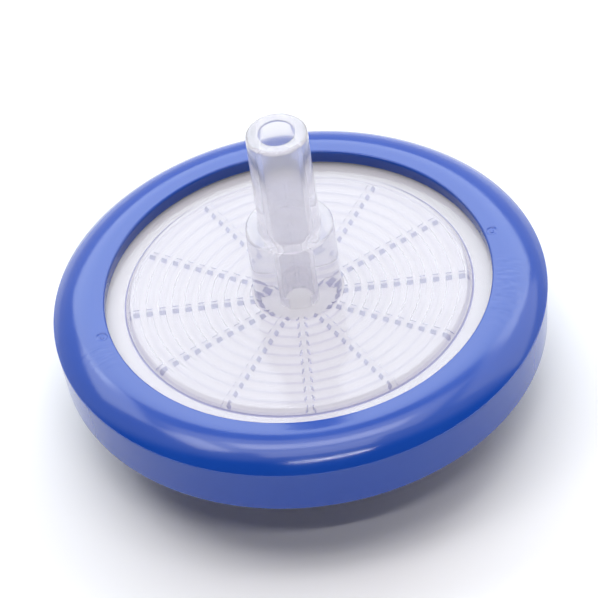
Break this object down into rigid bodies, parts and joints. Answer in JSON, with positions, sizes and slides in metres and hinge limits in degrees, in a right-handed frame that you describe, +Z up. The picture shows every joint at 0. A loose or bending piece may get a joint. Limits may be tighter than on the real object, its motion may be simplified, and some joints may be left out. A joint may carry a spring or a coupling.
{
  "type": "syringe filter",
  "caption": "In-line disc filter: clear ribbed housings hold a white membrane inside a blue overmoulded ring, with a stepped hose port on top and a Luer lock socket below.",
  "frame": {"origin": "centre of the mouth of the Luer socket, which is the lowest point of the part on its flow axis", "axes": "+Z up the flow axis, from the Luer socket to the hose port; +X runs along one of the radial channels in the ribs"},
  "size_m": [0.0742, 0.0742, 0.0528],
  "materials": {
    "upper_housing": "clear injection-moulded polypropylene, smooth and glossy, faintly cloudy where it is thick",
    "lower_housing": "clear injection-moulded polypropylene, smooth and glossy, faintly cloudy where it is thick",
    "membrane": "white expanded PTFE film on a fleece backing, matt",
    "overmould_ring": "royal blue overmoulded polypropylene, glossy, with faint flow ripples by the gates"
  },
  "bodies": {
    "root": {"upper_housing": "upper_housing", "lower_housing": "lower_housing", "membrane": "membrane", "overmould_ring": "overmould_ring"}
  },
  "joints": []
}
